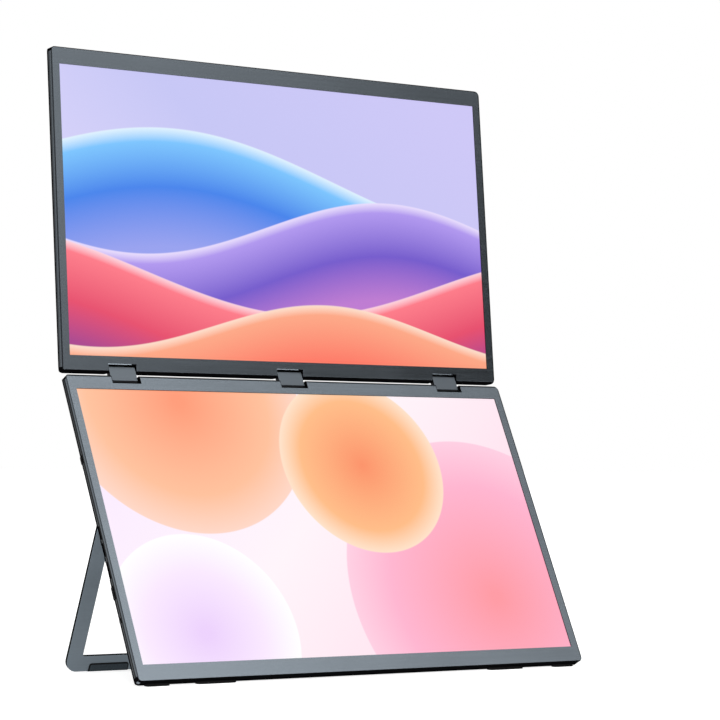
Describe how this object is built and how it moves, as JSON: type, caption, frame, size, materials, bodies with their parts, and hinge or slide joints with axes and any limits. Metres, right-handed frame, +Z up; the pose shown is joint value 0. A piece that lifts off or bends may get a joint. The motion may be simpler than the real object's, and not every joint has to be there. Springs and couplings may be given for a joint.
{
  "type": "dual portable monitor",
  "caption": "Folding portable monitor: a lower and an upper display joined by double-axle link hinges, standing on an open frame kickstand.",
  "frame": {"origin": "on the ground, at the middle of the object's width and depth", "axes": "+Z up, +X to the viewer's right, +Y to the back; the screens face -Y"},
  "size_m": [0.3572, 0.1342, 0.4109],
  "materials": {
    "bezel_alloy": "fine satin anodised, blue-grey",
    "shell_alloy": "fine satin anodised, near black",
    "stand_alloy": "fine satin anodised plate",
    "link_alloy": "satin anodised",
    "screen_glass": "satin display glass, lit",
    "light_guide": "white moulded",
    "circuit_board": "solder-masked laminate",
    "chip_black": "black moulded",
    "hinge_steel": "black oxide",
    "port_steel": "bright formed sheet",
    "foot_rubber": "black moulded",
    "button_plastic": "black moulded",
    "light_pipe": "smoked light pipe"
  },
  "bodies": {
    "lower_display": {"lower_front_bezel": "bezel_alloy", "lower_rear_shell": "shell_alloy", "lower_lcd_panel": "screen_glass", "lower_backlight": "light_guide", "lower_hinge_bracket_left": "hinge_steel", "lower_hinge_bracket_centre": "hinge_steel", "lower_hinge_bracket_right": "hinge_steel", "lower_hinge_pin_left": "hinge_steel", "lower_hinge_pin_centre": "hinge_steel", "lower_hinge_pin_right": "hinge_steel", "lower_hinge_washers": "hinge_steel", "lower_bracket_screws": "hinge_steel", "main_board": "circuit_board", "main_board_chips": "chip_black", "main_board_screws": "hinge_steel", "usb_c_ports": "port_steel", "mini_hdmi_port": "port_steel", "speaker_left": "chip_black", "speaker_right": "chip_black", "power_switch": "chip_black", "menu_switches": "chip_black", "menu_rocker_pin": "hinge_steel", "status_light": "light_pipe", "front_foot_outer_left": "foot_rubber", "front_foot_inner_left": "foot_rubber", "front_foot_inner_right": "foot_rubber", "front_foot_outer_right": "foot_rubber", "stand_hinge_leaf_left": "hinge_steel", "stand_hinge_leaf_right": "hinge_steel", "stand_hinge_pin_left": "hinge_steel", "stand_hinge_pin_right": "hinge_steel", "stand_leaf_screws": "hinge_steel"},
    "hinge_links": {"hinge_link_left": "hinge_steel", "hinge_link_centre": "hinge_steel", "hinge_link_right": "hinge_steel", "hinge_cover_left": "link_alloy", "hinge_cover_centre": "link_alloy", "hinge_cover_right": "link_alloy"},
    "upper_display": {"upper_front_bezel": "bezel_alloy", "upper_rear_shell": "shell_alloy", "upper_lcd_panel": "screen_glass", "upper_backlight": "light_guide", "upper_hinge_bracket_left": "hinge_steel", "upper_hinge_bracket_centre": "hinge_steel", "upper_hinge_bracket_right": "hinge_steel", "upper_hinge_pin_left": "hinge_steel", "upper_hinge_pin_centre": "hinge_steel", "upper_hinge_pin_right": "hinge_steel", "upper_hinge_washers": "hinge_steel", "upper_bracket_screws": "hinge_steel", "driver_board": "circuit_board", "driver_board_chips": "chip_black", "driver_board_screws": "hinge_steel"},
    "kickstand": {"kickstand_frame": "stand_alloy", "kickstand_pad_left": "foot_rubber", "kickstand_pad_right": "foot_rubber"},
    "power_button": {"power_button": "button_plastic"},
    "menu_rocker": {"menu_rocker": "button_plastic"}
  },
  "joints": [
    {"name": "links_fold", "type": "hinge", "parent": "lower_display", "child": "hinge_links", "pos_m": [0, 0.0345, 0.18986], "axis": [1, 0, 0], "range_deg": [-90, 90]},
    {"name": "upper_fold", "type": "hinge", "parent": "hinge_links", "child": "upper_display", "pos_m": [0, 0.03914, 0.19874], "axis": [1, 0, 0], "range_deg": [-51.3, 68.7]},
    {"name": "stand_swing", "type": "hinge", "parent": "lower_display", "child": "kickstand", "pos_m": [0, -0.00304, 0.11309], "axis": [1, 0, 0], "range_deg": [-50.4, 0]},
    {"name": "power_press", "type": "slide", "parent": "lower_display", "child": "power_button", "axis": [1, 0, 0], "range_m": [0, 0.0004], "stiffness_N_per_m": 1500},
    {"name": "menu_rock", "type": "hinge", "parent": "lower_display", "child": "menu_rocker", "pos_m": [-0.17428, -0.03492, 0.056], "axis": [0, 0.8862, -0.4633], "range_deg": [-4, 4], "stiffness_Nm_per_rad": 0.05}
  ]
}
